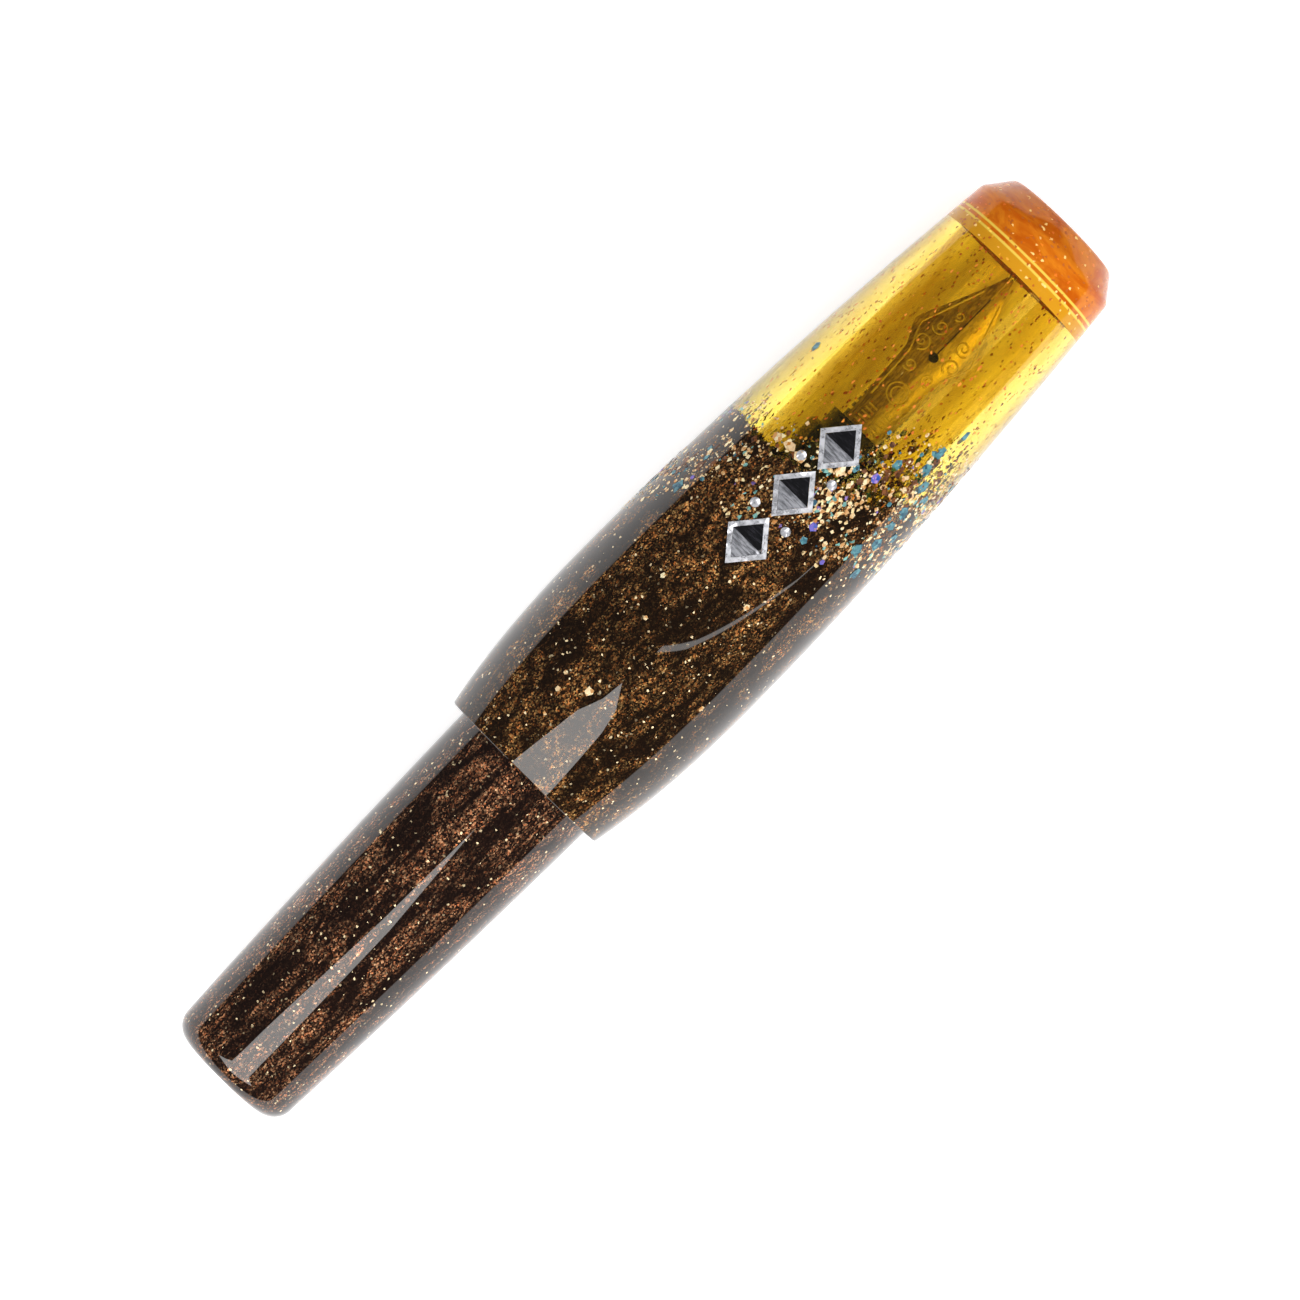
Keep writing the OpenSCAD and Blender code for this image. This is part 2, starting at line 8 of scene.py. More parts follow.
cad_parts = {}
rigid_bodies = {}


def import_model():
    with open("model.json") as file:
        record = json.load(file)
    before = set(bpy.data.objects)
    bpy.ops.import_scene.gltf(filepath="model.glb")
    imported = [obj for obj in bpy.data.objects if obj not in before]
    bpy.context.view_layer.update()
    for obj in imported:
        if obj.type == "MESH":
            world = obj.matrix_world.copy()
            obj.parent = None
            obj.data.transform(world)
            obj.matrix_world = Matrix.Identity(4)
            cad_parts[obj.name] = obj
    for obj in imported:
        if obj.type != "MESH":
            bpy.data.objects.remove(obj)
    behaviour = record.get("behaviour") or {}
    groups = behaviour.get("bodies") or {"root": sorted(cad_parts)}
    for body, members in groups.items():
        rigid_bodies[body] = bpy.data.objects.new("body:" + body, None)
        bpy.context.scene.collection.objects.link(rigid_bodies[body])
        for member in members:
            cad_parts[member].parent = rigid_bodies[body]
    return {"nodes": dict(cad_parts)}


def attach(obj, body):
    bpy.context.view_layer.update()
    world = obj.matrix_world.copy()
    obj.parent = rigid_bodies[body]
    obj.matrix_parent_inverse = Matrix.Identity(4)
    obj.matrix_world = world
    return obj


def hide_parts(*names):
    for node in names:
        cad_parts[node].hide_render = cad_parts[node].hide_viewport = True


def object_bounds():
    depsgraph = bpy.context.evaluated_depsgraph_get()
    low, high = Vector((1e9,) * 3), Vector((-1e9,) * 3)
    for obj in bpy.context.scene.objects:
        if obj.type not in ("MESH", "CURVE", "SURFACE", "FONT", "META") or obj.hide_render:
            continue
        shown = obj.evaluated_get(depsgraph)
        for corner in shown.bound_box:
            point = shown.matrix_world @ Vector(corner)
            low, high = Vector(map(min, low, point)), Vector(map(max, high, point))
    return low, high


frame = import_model()
cad_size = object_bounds()

# ---------------------------------------------------------------------------------------------
# Stage: a pale floor under soft light. A large panel hangs over the barrel end, with a thin tube
# beside it, a lamp to one side and a wide dim ceiling. The camera looks straight down on the pen,
# which lies corner to corner in its view.
PEN_LENGTH = 0.105
PEN_TURN = math.radians(-45.34)
VIEW_WIDTH = 0.1143
LENS = 200
SENSOR = 36
AIM = (0.00058, 0.00012)
FLOOR_SIZE = 6
FLOOR_GLOW = 0.58
PANEL_HEIGHT = 0.9
PANEL_TIP = [(-0.163, -0.41), (-0.104, -0.12), (-0.155, -0.075), (-0.215, 0.10)]
PANEL_BACK = [(-0.75, 0.62), (-1.25, -0.10), (-0.80, -1.05), (-0.235, -0.545)]
PANEL_GLOW = 5.6
TUBE_LINE = [(-0.020, -0.17), (0.010, -0.56), (0.061, -1.01), (0.163, -1.84), (0.252, -2.30)]
TUBE_HALF = 0.006
TUBE_GLOW = 3.4
CEILING_HEIGHT = 1.6
CEILING_SIZE = 4.5
CEILING_POWER = 18
LAMP_PLACE = (0.22, -0.62, 0.62)
LAMP_TURN = (math.radians(46), 0, math.radians(19))
LAMP_SIZE = 0.45
LAMP_POWER = 3.4
axis_z = cad_size[1][2] / 2

right = Vector((math.cos(PEN_TURN), math.sin(PEN_TURN), 0))
ahead = Vector((-math.sin(PEN_TURN), math.cos(PEN_TURN), 0))
eye = right * AIM[0] + ahead * AIM[1] + Vector((0, 0, axis_z + VIEW_WIDTH * LENS / SENSOR))
bpy.ops.object.camera_add(location=eye, rotation=(0, 0, PEN_TURN))
camera = bpy.context.object
camera.name = "studio_camera"
camera.data.lens = LENS
camera.data.sensor_width = SENSOR
camera.data.clip_start = 0.01
bpy.context.scene.camera = camera


def new_material(name):
    """A material with nodes, its tree and its one shader."""
    material = bpy.data.materials.new(name)
    material.use_nodes = True
    return material, material.node_tree, material.node_tree.nodes["Principled BSDF"]


bpy.ops.mesh.primitive_plane_add(size=FLOOR_SIZE, location=(0, 0, 0))
floor = bpy.context.object
floor.name = "floor"
paper, tree, shader = new_material("white_paper")
shader.inputs["Base Color"].default_value = (0.86, 0.86, 0.87, 1)
shader.inputs["Roughness"].default_value = 0.9
shader.inputs["Specular IOR Level"].default_value = 0.1
shader.inputs["Emission Color"].default_value = (1, 1, 1, 1)
shader.inputs["Emission Strength"].default_value = FLOOR_GLOW
paper.cycles.emission_sampling = "NONE"
floor.data.materials.append(paper)


def start_piece(name):
    """Starts a mesh piece as one vertex at the origin, left in edit mode."""
    bpy.ops.object.select_all(action="DESELECT")
    bpy.ops.mesh.primitive_plane_add(size=0.001)
    bpy.context.object.name = name
    bpy.ops.object.mode_set(mode="EDIT")
    bpy.ops.mesh.merge(type="CENTER")
    return bpy.context.object


def draw_line(points):
    """Moves the one vertex to the first point and extrudes it through the others."""
    here = Vector((0, 0, 0))
    for i, point in enumerate(points):
        step = {"value": Vector(point) - here}
        if i == 0:
            bpy.ops.transform.translate(**step)
        else:
            bpy.ops.mesh.extrude_region_move(TRANSFORM_OT_translate=step)
        here = Vector(point)


def hang_panel(name, corners, radiance):
    """A glowing sheet over the pen. Each corner is given by its slopes, along and across, from the pen."""
    panel = start_piece(name)
    draw_line([(along * PANEL_HEIGHT, across * PANEL_HEIGHT, PANEL_HEIGHT) for along, across in corners])
    bpy.ops.mesh.select_all(action="SELECT")
    bpy.ops.mesh.edge_face_add()
    bpy.ops.object.mode_set(mode="OBJECT")
    glow, _, shader = new_material(name + "_glow")
    shader.inputs["Base Color"].default_value = (0, 0, 0, 1)
    shader.inputs["Emission Color"].default_value = (1, 0.98, 0.96, 1)
    shader.inputs["Emission Strength"].default_value = radiance
    panel.data.materials.append(glow)


hang_panel("soft_panel", PANEL_TIP + PANEL_BACK, PANEL_GLOW)
one_edge = [(along - TUBE_HALF, across) for along, across in TUBE_LINE]
other_edge = [(along + TUBE_HALF, across) for along, across in reversed(TUBE_LINE)]
hang_panel("thin_tube", one_edge + other_edge, TUBE_GLOW)


def soft_lamp(name, place, turn, size, power):
    """A soft square lamp that lights the pen but isn't mirrored in it."""
    bpy.ops.object.light_add(type="AREA", location=place, rotation=turn)
    lamp = bpy.context.object
    lamp.name = name
    lamp.data.size = size
    lamp.data.energy = power
    lamp.visible_glossy = False


soft_lamp("ceiling", (0, 0, CEILING_HEIGHT), (0, 0, 0), CEILING_SIZE, CEILING_POWER)
soft_lamp("side_lamp", LAMP_PLACE, LAMP_TURN, LAMP_SIZE, LAMP_POWER)

world = bpy.data.worlds.new("dim_studio")
world.use_nodes = True
air = world.node_tree.nodes["Background"]
air.inputs["Color"].default_value = (0.92, 0.94, 1.0, 1)
air.inputs["Strength"].default_value = 0.09
bpy.context.scene.world = world
bpy.context.scene.view_settings.view_transform = "Standard"

# ---------------------------------------------------------------------------------------------
# Barrel: turned and bored from dark cast resin with copper mica drawn out along it, and polished
# to a deep gloss. Its closed end is flat with a rounded edge, and its mouth is tapped.
MM = 0.001
BARREL_END = -PEN_LENGTH / 2
BARREL_LENGTH = 51.4 * MM
BARREL_MAX_R = 7.64 * MM
BARREL_END_R = 6.33 * MM
BARREL_EDGE = 2.0 * MM
BARREL_CURVE = 1.8
BARREL_BORE_R = 5.2 * MM
BARREL_THREAD_R = 5.7 * MM
BARREL_THREAD = 7.9 * MM
BARREL_WALL = 3.2 * MM
SEAL_SEAT_R = 6.72 * MM
SEAL_SEAT = 1.05 * MM
SMALL_EDGE = 0.07 * MM
RUNOUT = 1.0 * MM
WELD = 0.002 * MM
MOUTH_X = BARREL_END + BARREL_LENGTH
RUNOUT_X = MOUTH_X - BARREL_THREAD - RUNOUT


def steps(start, end, count):
    """Evenly spaced numbers from start to end."""
    return [start + (end - start) * i / count for i in range(count + 1)]


def turned_piece(name, outline, sides=128):
    """Spins an outline of (place, radius) points round the pen's axis into a closed solid."""
    piece = start_piece(name)
    draw_line([(place, 0, axis_z + radius) for place, radius in outline])
    bpy.ops.mesh.select_all(action="SELECT")
    bpy.ops.mesh.spin(steps=sides, angle=2 * math.pi, center=(0, 0, axis_z), axis=(1, 0, 0))
    bpy.ops.mesh.select_all(action="SELECT")
    bpy.ops.mesh.remove_doubles(threshold=WELD)
    bpy.ops.mesh.normals_make_consistent(inside=False)
    bpy.ops.object.mode_set(mode="OBJECT")
    bpy.ops.object.shade_smooth_by_angle(angle=math.radians(32))
    return piece


def barrel_radius(x):
    """The barrel's outside, falling away from its mouth in a gentle curve."""
    share = (MOUTH_X - x) / (BARREL_LENGTH - BARREL_EDGE)
    return BARREL_MAX_R - (BARREL_MAX_R - BARREL_END_R) * share**BARREL_CURVE


outline = [(BARREL_END, 0)]
outline += [
    (
        BARREL_END + BARREL_EDGE * (1 - math.cos(a)),
        BARREL_END_R - BARREL_EDGE * (1 - math.sin(a)),
    )
    for a in steps(0, math.pi / 2, 12)
]
outline += [(x, barrel_radius(x)) for x in steps(BARREL_END + BARREL_EDGE, MOUTH_X - SMALL_EDGE, 30)[1:]]
outline += [(MOUTH_X, BARREL_MAX_R - SMALL_EDGE), (MOUTH_X, SEAL_SEAT_R)]
outline += [(MOUTH_X - SEAL_SEAT, SEAL_SEAT_R), (MOUTH_X - SEAL_SEAT, BARREL_THREAD_R)]
outline += [(RUNOUT_X, BARREL_THREAD_R), (RUNOUT_X, BARREL_BORE_R)]
outline += [(BARREL_END + BARREL_WALL, BARREL_BORE_R), (BARREL_END + BARREL_WALL, 0)]
barrel = turned_piece("barrel_resin", outline)


def object_place(tree, scale=(1, 1, 1)):
    """Object coordinates, stretched along each axis so that a pattern can run along the pen."""
    where = tree.nodes.new("ShaderNodeTexCoord")
    mapping = tree.nodes.new("ShaderNodeMapping")
    mapping.inputs["Scale"].default_value = scale
    tree.links.new(where.outputs["Object"], mapping.inputs["Vector"])
    return mapping.outputs["Vector"]


def noise(tree, place, scale, detail=4.0, rough=0.55, twist=0.0):
    """Cloudy noise from 0 to 1."""
    node = tree.nodes.new("ShaderNodeTexNoise")
    sizes = {"Scale": scale, "Detail": detail, "Roughness": rough, "Distortion": twist}
    for name, value in sizes.items():
        node.inputs[name].default_value = value
    tree.links.new(place, node.inputs["Vector"])
    return node.outputs["Fac"]


def chips(tree, place, scale):
    """Flat-sided cells, each with three random numbers of its own."""
    node = tree.nodes.new("ShaderNodeTexVoronoi")
    node.inputs["Scale"].default_value = scale
    tree.links.new(place, node.inputs["Vector"])
    split = tree.nodes.new("ShaderNodeSeparateColor")
    tree.links.new(node.outputs["Color"], split.inputs["Color"])
    return split.outputs


def fade(tree, value, low, high, start=0.0, end=1.0):
    """Runs smoothly from start to end as value goes from low to high."""
    node = tree.nodes.new("ShaderNodeMapRange")
    node.interpolation_type = "SMOOTHSTEP"
    for name, number in zip(("From Min", "From Max", "To Min", "To Max"), (low, high, start, end)):
        node.inputs[name].default_value = number
    tree.links.new(value, node.inputs["Value"])
    return node.outputs["Result"]


def sums(tree, operation, a, b):
    """One step of arithmetic on sockets or numbers."""
    node = tree.nodes.new("ShaderNodeMath")
    node.operation = operation
    for socket, value in zip(node.inputs, (a, b)):
        if isinstance(value, (int, float)):
            socket.default_value = value
        else:
            tree.links.new(value, socket)
    return node.outputs[0]


def mix_colours(tree, share, a, b):
    """Goes from colour a to colour b as share goes from 0 to 1."""
    node = tree.nodes.new("ShaderNodeMix")
    node.data_type = "RGBA"
    tree.links.new(share, node.inputs[0])
    for socket, value in ((node.inputs[6], a), (node.inputs[7], b)):
        if isinstance(value, tuple):
            socket.default_value = (*value, 1)
        else:
            tree.links.new(value, socket)
    return node.outputs[2]


SPECK = (1.0, 0.80, 0.48)
MICA_METAL = 0.35


def mica_resin(tree, dark, copper, gold, drawn_out, cloud_low, cloud_high):
    """Dark resin full of mica: clouds and finer streaks drawn out along the pen, grain and specks."""
    plain = object_place(tree)
    clouds = noise(tree, object_place(tree, drawn_out), 1.0, 5.0, 0.6, 1.2)
    streaks = noise(tree, object_place(tree, tuple(6 * size for size in drawn_out)), 1.0, 4.0, 0.7)
    drift = sums(
        tree,
        "MULTIPLY",
        fade(tree, clouds, cloud_low, cloud_high, 0.05, 1.0),
        fade(tree, streaks, 0.42, 0.62, 0.18, 1.0),
    )
    grain = chips(tree, plain, 7400)
    mica = sums(tree, "MULTIPLY", drift, sums(tree, "POWER", grain[0], 3.2))
    colour = mix_colours(tree, mica, dark, mix_colours(tree, grain[2], copper, gold))
    specks = chips(tree, plain, 5600)
    few = fade(tree, specks[1], 0.984, 0.994)
    spark = sums(tree, "MULTIPLY", few, fade(tree, specks[0], 0.0, 0.7, 0.2, 1.0))
    colour = mix_colours(tree, spark, colour, SPECK)
    metal = sums(tree, "MULTIPLY", sums(tree, "MAXIMUM", mica, spark), MICA_METAL)
    return colour, metal


def polished_mica(name, roughness, *resin):
    """Mica resin below a clear polished skin. The resin's values are the ones that mica_resin takes."""
    material, tree, shader = new_material(name)
    colour, metal = mica_resin(tree, *resin)
    tree.links.new(colour, shader.inputs["Base Color"])
    tree.links.new(metal, shader.inputs["Metallic"])
    shader.inputs["Roughness"].default_value = roughness
    shader.inputs["Specular IOR Level"].default_value = 0.0
    shader.inputs["Coat Weight"].default_value = 1.0
    shader.inputs["Coat Roughness"].default_value = 0.015
    shader.inputs["Coat IOR"].default_value = 1.5
    return material


BARREL_DARK = (0.007, 0.003, 0.002)
BARREL_COPPER = (0.95, 0.28, 0.10)
BARREL_GOLD = (1.0, 0.60, 0.32)
barrel.data.materials.append(
    polished_mica(
        "copper_mica_resin", 0.45, BARREL_DARK, BARREL_COPPER, BARREL_GOLD, (120, 520, 520), 0.42, 0.64
    )
)
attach(barrel, "barrel")
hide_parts("barrel")

# ---------------------------------------------------------------------------------------------
# Cap: one casting, turned and bored through. Clear amber resin at the nib end runs slantwise
# into dark resin full of gold mica, with metal leaf and coloured chips where the two meet.
CAP_OVERLAP = 13.8 * MM
CAP_WIDEST = 18.4 * MM
CAP_LIP_R = 8.73 * MM
CAP_MAX_R = axis_z
CAP_END_R = 7.62 * MM
CAP_SKIRT_R = 7.83 * MM
CAP_THREAD_R = 6.8 * MM
CAP_BORE_R = 6.4 * MM
CAP_LIP_CURVE = 2.4
CAP_END_CURVE = 1.8
FINIAL_LENGTH = 6.5 * MM
BEVEL_LENGTH = 2.2 * MM
BEVEL_DROP = 1.85 * MM
FLANGE_LENGTH = 0.8 * MM
CAP_THREAD = 5.0 * MM
LIP_X = MOUTH_X - CAP_OVERLAP
WIDEST_X = LIP_X + CAP_WIDEST
CAP_END = PEN_LENGTH / 2
JOINT_X = CAP_END - FINIAL_LENGTH
BEVEL_X = CAP_END - BEVEL_LENGTH
FLANGE_X = MOUTH_X + FLANGE_LENGTH
GRIP_X = FLANGE_X + CAP_THREAD


def cap_radius(x):
    """The cap's outside, widest in front of its lip and falling away to both ends."""
    if x < WIDEST_X:
        return CAP_MAX_R - (CAP_MAX_R - CAP_LIP_R) * ((WIDEST_X - x) / CAP_WIDEST) ** CAP_LIP_CURVE
    share = (x - WIDEST_X) / (BEVEL_X - WIDEST_X)
    return CAP_MAX_R - (CAP_MAX_R - CAP_END_R) * share**CAP_END_CURVE


outline = [(LIP_X, CAP_SKIRT_R), (LIP_X, CAP_LIP_R - SMALL_EDGE)]
outline += [(x, cap_radius(x)) for x in steps(LIP_X + SMALL_EDGE, JOINT_X, 90)]
outline += [(x, CAP_BORE_R) for x in steps(JOINT_X, GRIP_X, 30)]
outline += [(GRIP_X, CAP_THREAD_R), (FLANGE_X, CAP_THREAD_R), (FLANGE_X, CAP_SKIRT_R), (LIP_X, CAP_SKIRT_R)]
cap = turned_piece("cap_resin", outline, sides=176)

CLEAR_X = 20.5 * MM
CLEAR_SLANT = 0.45
CLEAR_SIDE = 1.5 * MM
CAP_DARK = (0.007, 0.003, 0.001)
CAP_COPPER = (0.95, 0.28, 0.06)
CAP_GOLD = (1.0, 0.62, 0.22)


def along_and_aside(tree):
    """The place along the pen and the distance to the side of its axis."""
    split = tree.nodes.new("ShaderNodeSeparateXYZ")
    tree.links.new(object_place(tree), split.inputs["Vector"])
    return split.outputs["X"], split.outputs["Y"]


amber_resin, tree, shader = new_material("amber_and_dark_resin")
colour, _ = mica_resin(tree, CAP_DARK, CAP_COPPER, CAP_GOLD, (170, 330, 330), 0.42, 0.66)
plain = object_place(tree)

# The clear resin starts at a slant to one side, with a ragged edge
along, aside = along_and_aside(tree)
slant = sums(tree, "MAXIMUM", sums(tree, "SUBTRACT", CLEAR_SIDE, aside), 0.0)
ragged = sums(tree, "SUBTRACT", noise(tree, plain, 330, 7.0, 0.68), 0.5)
reach = fade(tree, aside, -1 * MM, 4 * MM, 12 * MM, 4 * MM)
ragged_along = sums(tree, "ADD", along, sums(tree, "MULTIPLY", ragged, reach))
edge = sums(tree, "SUBTRACT", ragged_along, sums(tree, "MULTIPLY", slant, CLEAR_SLANT))
clear = fade(tree, edge, CLEAR_X - 0.03 * MM, CLEAR_X + 0.03 * MM)

# The band where leaf lies thick, from inside the dark resin to a little way into the clear
band = sums(
    tree,
    "MULTIPLY",
    fade(tree, edge, CLEAR_X - 10 * MM, CLEAR_X - 1 * MM),
    fade(tree, edge, CLEAR_X + 1 * MM, CLEAR_X + 4 * MM, 1.0, 0.0),
)
band = sums(tree, "MULTIPLY", band, fade(tree, noise(tree, plain, 260, 3.0), 0.44, 0.60))
band = sums(tree, "MULTIPLY", band, fade(tree, aside, -1.5 * MM, 0.5 * MM, 1.0, 0.45))
leaf = chips(tree, object_place(tree, (1.0, 1.3, 1.3)), 2700)
is_leaf = fade(tree, sums(tree, "ADD", leaf[0], sums(tree, "MULTIPLY", band, 0.42)), 1.0, 1.02)
shade = chips(tree, plain, 3400)
gold_leaf = mix_colours(tree, shade[0], (0.50, 0.18, 0.03), (1.0, 0.88, 0.50))
teal_leaf = mix_colours(tree, shade[1], (0.04, 0.15, 0.15), (0.26, 0.55, 0.50))
violet_leaf = mix_colours(tree, shade[2], (0.05, 0.03, 0.16), (0.30, 0.20, 0.50))
leaf_colour = mix_colours(tree, fade(tree, leaf[1], 0.76, 0.78), gold_leaf, teal_leaf)
leaf_colour = mix_colours(tree, fade(tree, leaf[1], 0.93, 0.95), leaf_colour, violet_leaf)

# Fine copper specks that float all through the clear resin
dust = chips(tree, object_place(tree, (0.7, 1.2, 1.2)), 5200)
is_dust = fade(tree, dust[0], 0.980, 0.985)
dust_colour = mix_colours(tree, dust[1], (0.38, 0.07, 0.01), (0.90, 0.30, 0.04))

# The clear resin's own cast, deeper in some places, and then all the layers over each other
cast = noise(tree, object_place(tree, (60, 260, 260)), 1.0, 3.0, 0.5, 1.5)
clear_colour = mix_colours(tree, fade(tree, cast, 0.35, 0.65), (0.67, 0.46, 0.050), (0.86, 0.67, 0.115))
clear_colour = mix_colours(tree, is_dust, clear_colour, dust_colour)
colour = mix_colours(tree, clear, colour, clear_colour)
colour = mix_colours(tree, is_leaf, colour, leaf_colour)
solid = sums(tree, "MAXIMUM", is_leaf, sums(tree, "MULTIPLY", clear, is_dust))
see_through = sums(tree, "MULTIPLY", clear, sums(tree, "SUBTRACT", 1.0, solid))
tree.links.new(colour, shader.inputs["Base Color"])
tree.links.new(sums(tree, "MULTIPLY", is_leaf, 0.2), shader.inputs["Metallic"])
tree.links.new(see_through, shader.inputs["Transmission Weight"])
tree.links.new(fade(tree, is_leaf, 0, 1, 0.015, 0.3), shader.inputs["Roughness"])
shader.inputs["IOR"].default_value = 1.5
shader.inputs["Specular IOR Level"].default_value = 0.5
cap.data.materials.append(amber_resin)
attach(cap, "cap")
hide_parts("cap_shell")

# ---------------------------------------------------------------------------------------------
# Leaf and chips: torn bits of metal leaf, coloured film and dark resin, stirred in before the cap
# set. They lie in its wall, thickest where the clear and the dark resin meet, and those at the
# skin are ground flush with it.
FILM = 0.02 * MM
FLUSH = 0.01 * MM
FLUSH_SHARE = 0.6
CLEAN_FROM = -1 * MM
CLEAN_TO = 6.5 * MM
CLEAN_SHARE = 0.88
LEAF_BACK = 1.5
LEAF_BACK_FROM = 4 * MM
WIDE_SIDE = -2 * MM
NARROW_SPREAD = 0.55
GOLD_COUNT = 3000
TEAL_COUNT = 210
VIOLET_COUNT = 30
CRUMB_COUNT = 700
COPPER_COUNT = 150
SKIN_GAP = 0.12 * MM
BORE_GAP = 0.15 * MM
IN_WALL_TILT = 0.5
FLUSH_TILT = 0.01
draw = random.Random(7)


def lay_chips(name, chips_to_lay, ragged):
    """Lays one flat chip for each (place along, angle, radius, size, stretch, tilt, corners)."""
    bpy.ops.object.select_all(action="DESELECT")
    bpy.ops.mesh.primitive_circle_add(vertices=3, radius=MM)
    piece = bpy.context.object
    piece.name = name
    bpy.ops.object.mode_set(mode="EDIT")
    bpy.ops.mesh.delete(type="VERT")
    for x, angle, radius, size, stretch, tilt, corners in chips_to_lay:
        place = Vector((x, radius * math.sin(angle), axis_z + radius * math.cos(angle)))
        spun = Matrix.Rotation(draw.uniform(0, 3), 3, "Z")
        leaning = Matrix.Rotation(draw.uniform(-tilt, tilt), 3, "Y") @ spun
        facing = (Matrix.Rotation(-angle + draw.uniform(-tilt, tilt), 3, "X") @ leaning).to_euler()
        bpy.ops.mesh.primitive_circle_add(
            vertices=corners, radius=size / 2, fill_type="NGON", location=place, rotation=facing
        )
        bpy.ops.transform.resize(value=(stretch, 1, 1), center_override=place)
    bpy.ops.mesh.select_all(action="SELECT")
    bpy.ops.transform.vertex_random(offset=ragged, uniform=1.0, normal=0.0, seed=5)
    bpy.ops.object.mode_set(mode="OBJECT")
    thicken = piece.modifiers.new("film", "SOLIDIFY")
    thicken.thickness = FILM
    thicken.offset = 0
    bpy.ops.object.modifier_apply(modifier=thicken.name)
    return piece


def raise_bumps(tree, shader, height, distance):
    """Gives a surface fine relief from a pattern."""
    bump = tree.nodes.new("ShaderNodeBump")
    bump.inputs["Distance"].default_value = distance
    tree.links.new(height, bump.inputs["Height"])
    tree.links.new(bump.outputs["Normal"], shader.inputs["Normal"])


def film_material(name, dull, bright, metallic):
    """Crinkled film: its colour shifts from facet to facet and it catches the light in creases."""
    material, tree, shader = new_material(name)
    plain = object_place(tree)
    facet = chips(tree, plain, 3000)
    crease = noise(tree, plain, 2400, 3.0)
    tree.links.new(mix_colours(tree, facet[0], dull, bright), shader.inputs["Base Color"])
    tree.links.new(fade(tree, crease, 0.3, 0.7, 0.2, 0.5), shader.inputs["Roughness"])
    raise_bumps(tree, shader, crease, 0.05 * MM)
    shader.inputs["Metallic"].default_value = metallic
    return material


def meeting_x(y):
    """Where the leaf lies thickest at a distance y to the side."""
    return CLEAR_X + CLEAR_SLANT * max(CLEAR_SIDE - y, 0) - LEAF_BACK * max(y - LEAF_BACK_FROM, 0)


def in_wall(x, share):
    """A radius between the bore and the skin of the cap, a little clear of both."""
    return (CAP_BORE_R + BORE_GAP) * (1 - share) + (cap_radius(x) - SKIN_GAP) * share


def chips_in_band(count, ahead, behind, smallest, largest):
    """Chips all round the cap, from behind the edge of the clear resin to ahead of it."""
    laid = []
    while len(laid) < count:
        angle = draw.uniform(-math.pi, math.pi)
        size = smallest + (largest - smallest) * draw.random() ** 3
        y = CAP_MAX_R * math.sin(angle)
        if CLEAN_FROM < y < CLEAN_TO and draw.random() < CLEAN_SHARE:
            continue
        spread = 1.0 if y < WIDE_SIDE else NARROW_SPREAD
        x = meeting_x(y) + spread * draw.triangular(-behind, ahead, 0.2 * ahead)
        radius, tilt = in_wall(x, draw.uniform(0.35, 1.0)), IN_WALL_TILT
        if draw.random() < FLUSH_SHARE:
            radius, tilt = cap_radius(x) + FLUSH, FLUSH_TILT
        if x < JOINT_X - MM:
            laid.append((x, angle, radius, size, draw.uniform(0.7, 1.6), tilt, draw.choice((4, 5, 6))))
    return laid


def placed_chips(spots):
    """Chips ground flush with the skin, from a list of (place, aside, size, stretch) in mm."""
    laid = []
    for x, y, size, stretch in spots:
        place = BARREL_END + x * MM
        radius = cap_radius(place) + FLUSH
        laid.append((place, math.asin(y * MM / radius), radius, size * MM, stretch, FLUSH_TILT, 5))
    return laid


# The largest chips are laid one by one, at places measured from the barrel's end
GOLD_SPOTS = [(45.0, 3.0, 0.5, 1.2), (46.5, 3.5, 0.45, 1.0), (46.8, 0.9, 0.8, 1.4), (42.7, 2.3, 0.4, 1.0)]
GOLD_SPOTS += [(58.4, 3.4, 0.5, 1.2), (54.7, 1.9, 0.45, 1.1), (61.5, -3.7, 0.55, 1.3), (52.5, -7.1, 0.5, 1.2)]
GOLD_SPOTS += [(74.0, 2.2, 1.3, 0.8), (74.1, 3.5, 1.4, 0.7), (73.9, 4.8, 1.1, 0.8), (75.6, -1.2, 0.9, 1.2)]
TEAL_SPOTS = [(82.6, -6.3, 0.9, 2.6), (85.4, -6.8, 0.6, 2.6), (71.8, -7.0, 1.1, 1.3), (73.4, -7.9, 1.3, 1.1)]
TEAL_SPOTS += [(74.8, -8.6, 0.9, 1.3), (77.0, -7.6, 1.2, 1.1), (79.8, -7.3, 1.1, 1.3), (82.0, 8.0, 0.9, 1.3)]
TEAL_SPOTS += [(80.9, -6.4, 1.2, 1.4), (78.9, -8.2, 1.0, 1.5), (70.2, -8.4, 1.0, 1.6), (64.8, 8.0, 1.0, 1.6)]
VIOLET_SPOTS = [(70.5, -2.9, 0.85, 1.1), (77.3, -3.8, 0.9, 1.2), (68.9, -5.6, 0.5, 1.2)]

gold_chips = chips_in_band(GOLD_COUNT, 8 * MM, 8 * MM, 0.07 * MM, 0.5 * MM) + placed_chips(GOLD_SPOTS)
gold = lay_chips("gold_leaf_chips", gold_chips, 0.012 * MM)
gold.data.materials.append(film_material("gold_leaf", (0.60, 0.25, 0.05), (1.0, 0.90, 0.58), 0.25))
teal_chips = chips_in_band(TEAL_COUNT, 8 * MM, 8 * MM, 0.2 * MM, 1.1 * MM) + placed_chips(TEAL_SPOTS)
teal = lay_chips("teal_film_chips", teal_chips, 0.015 * MM)
teal.data.materials.append(film_material("teal_film", (0.01, 0.07, 0.12), (0.12, 0.32, 0.36), 0.2))
violet_chips = chips_in_band(VIOLET_COUNT, 3 * MM, 4 * MM, 0.2 * MM, 0.8 * MM) + placed_chips(VIOLET_SPOTS)
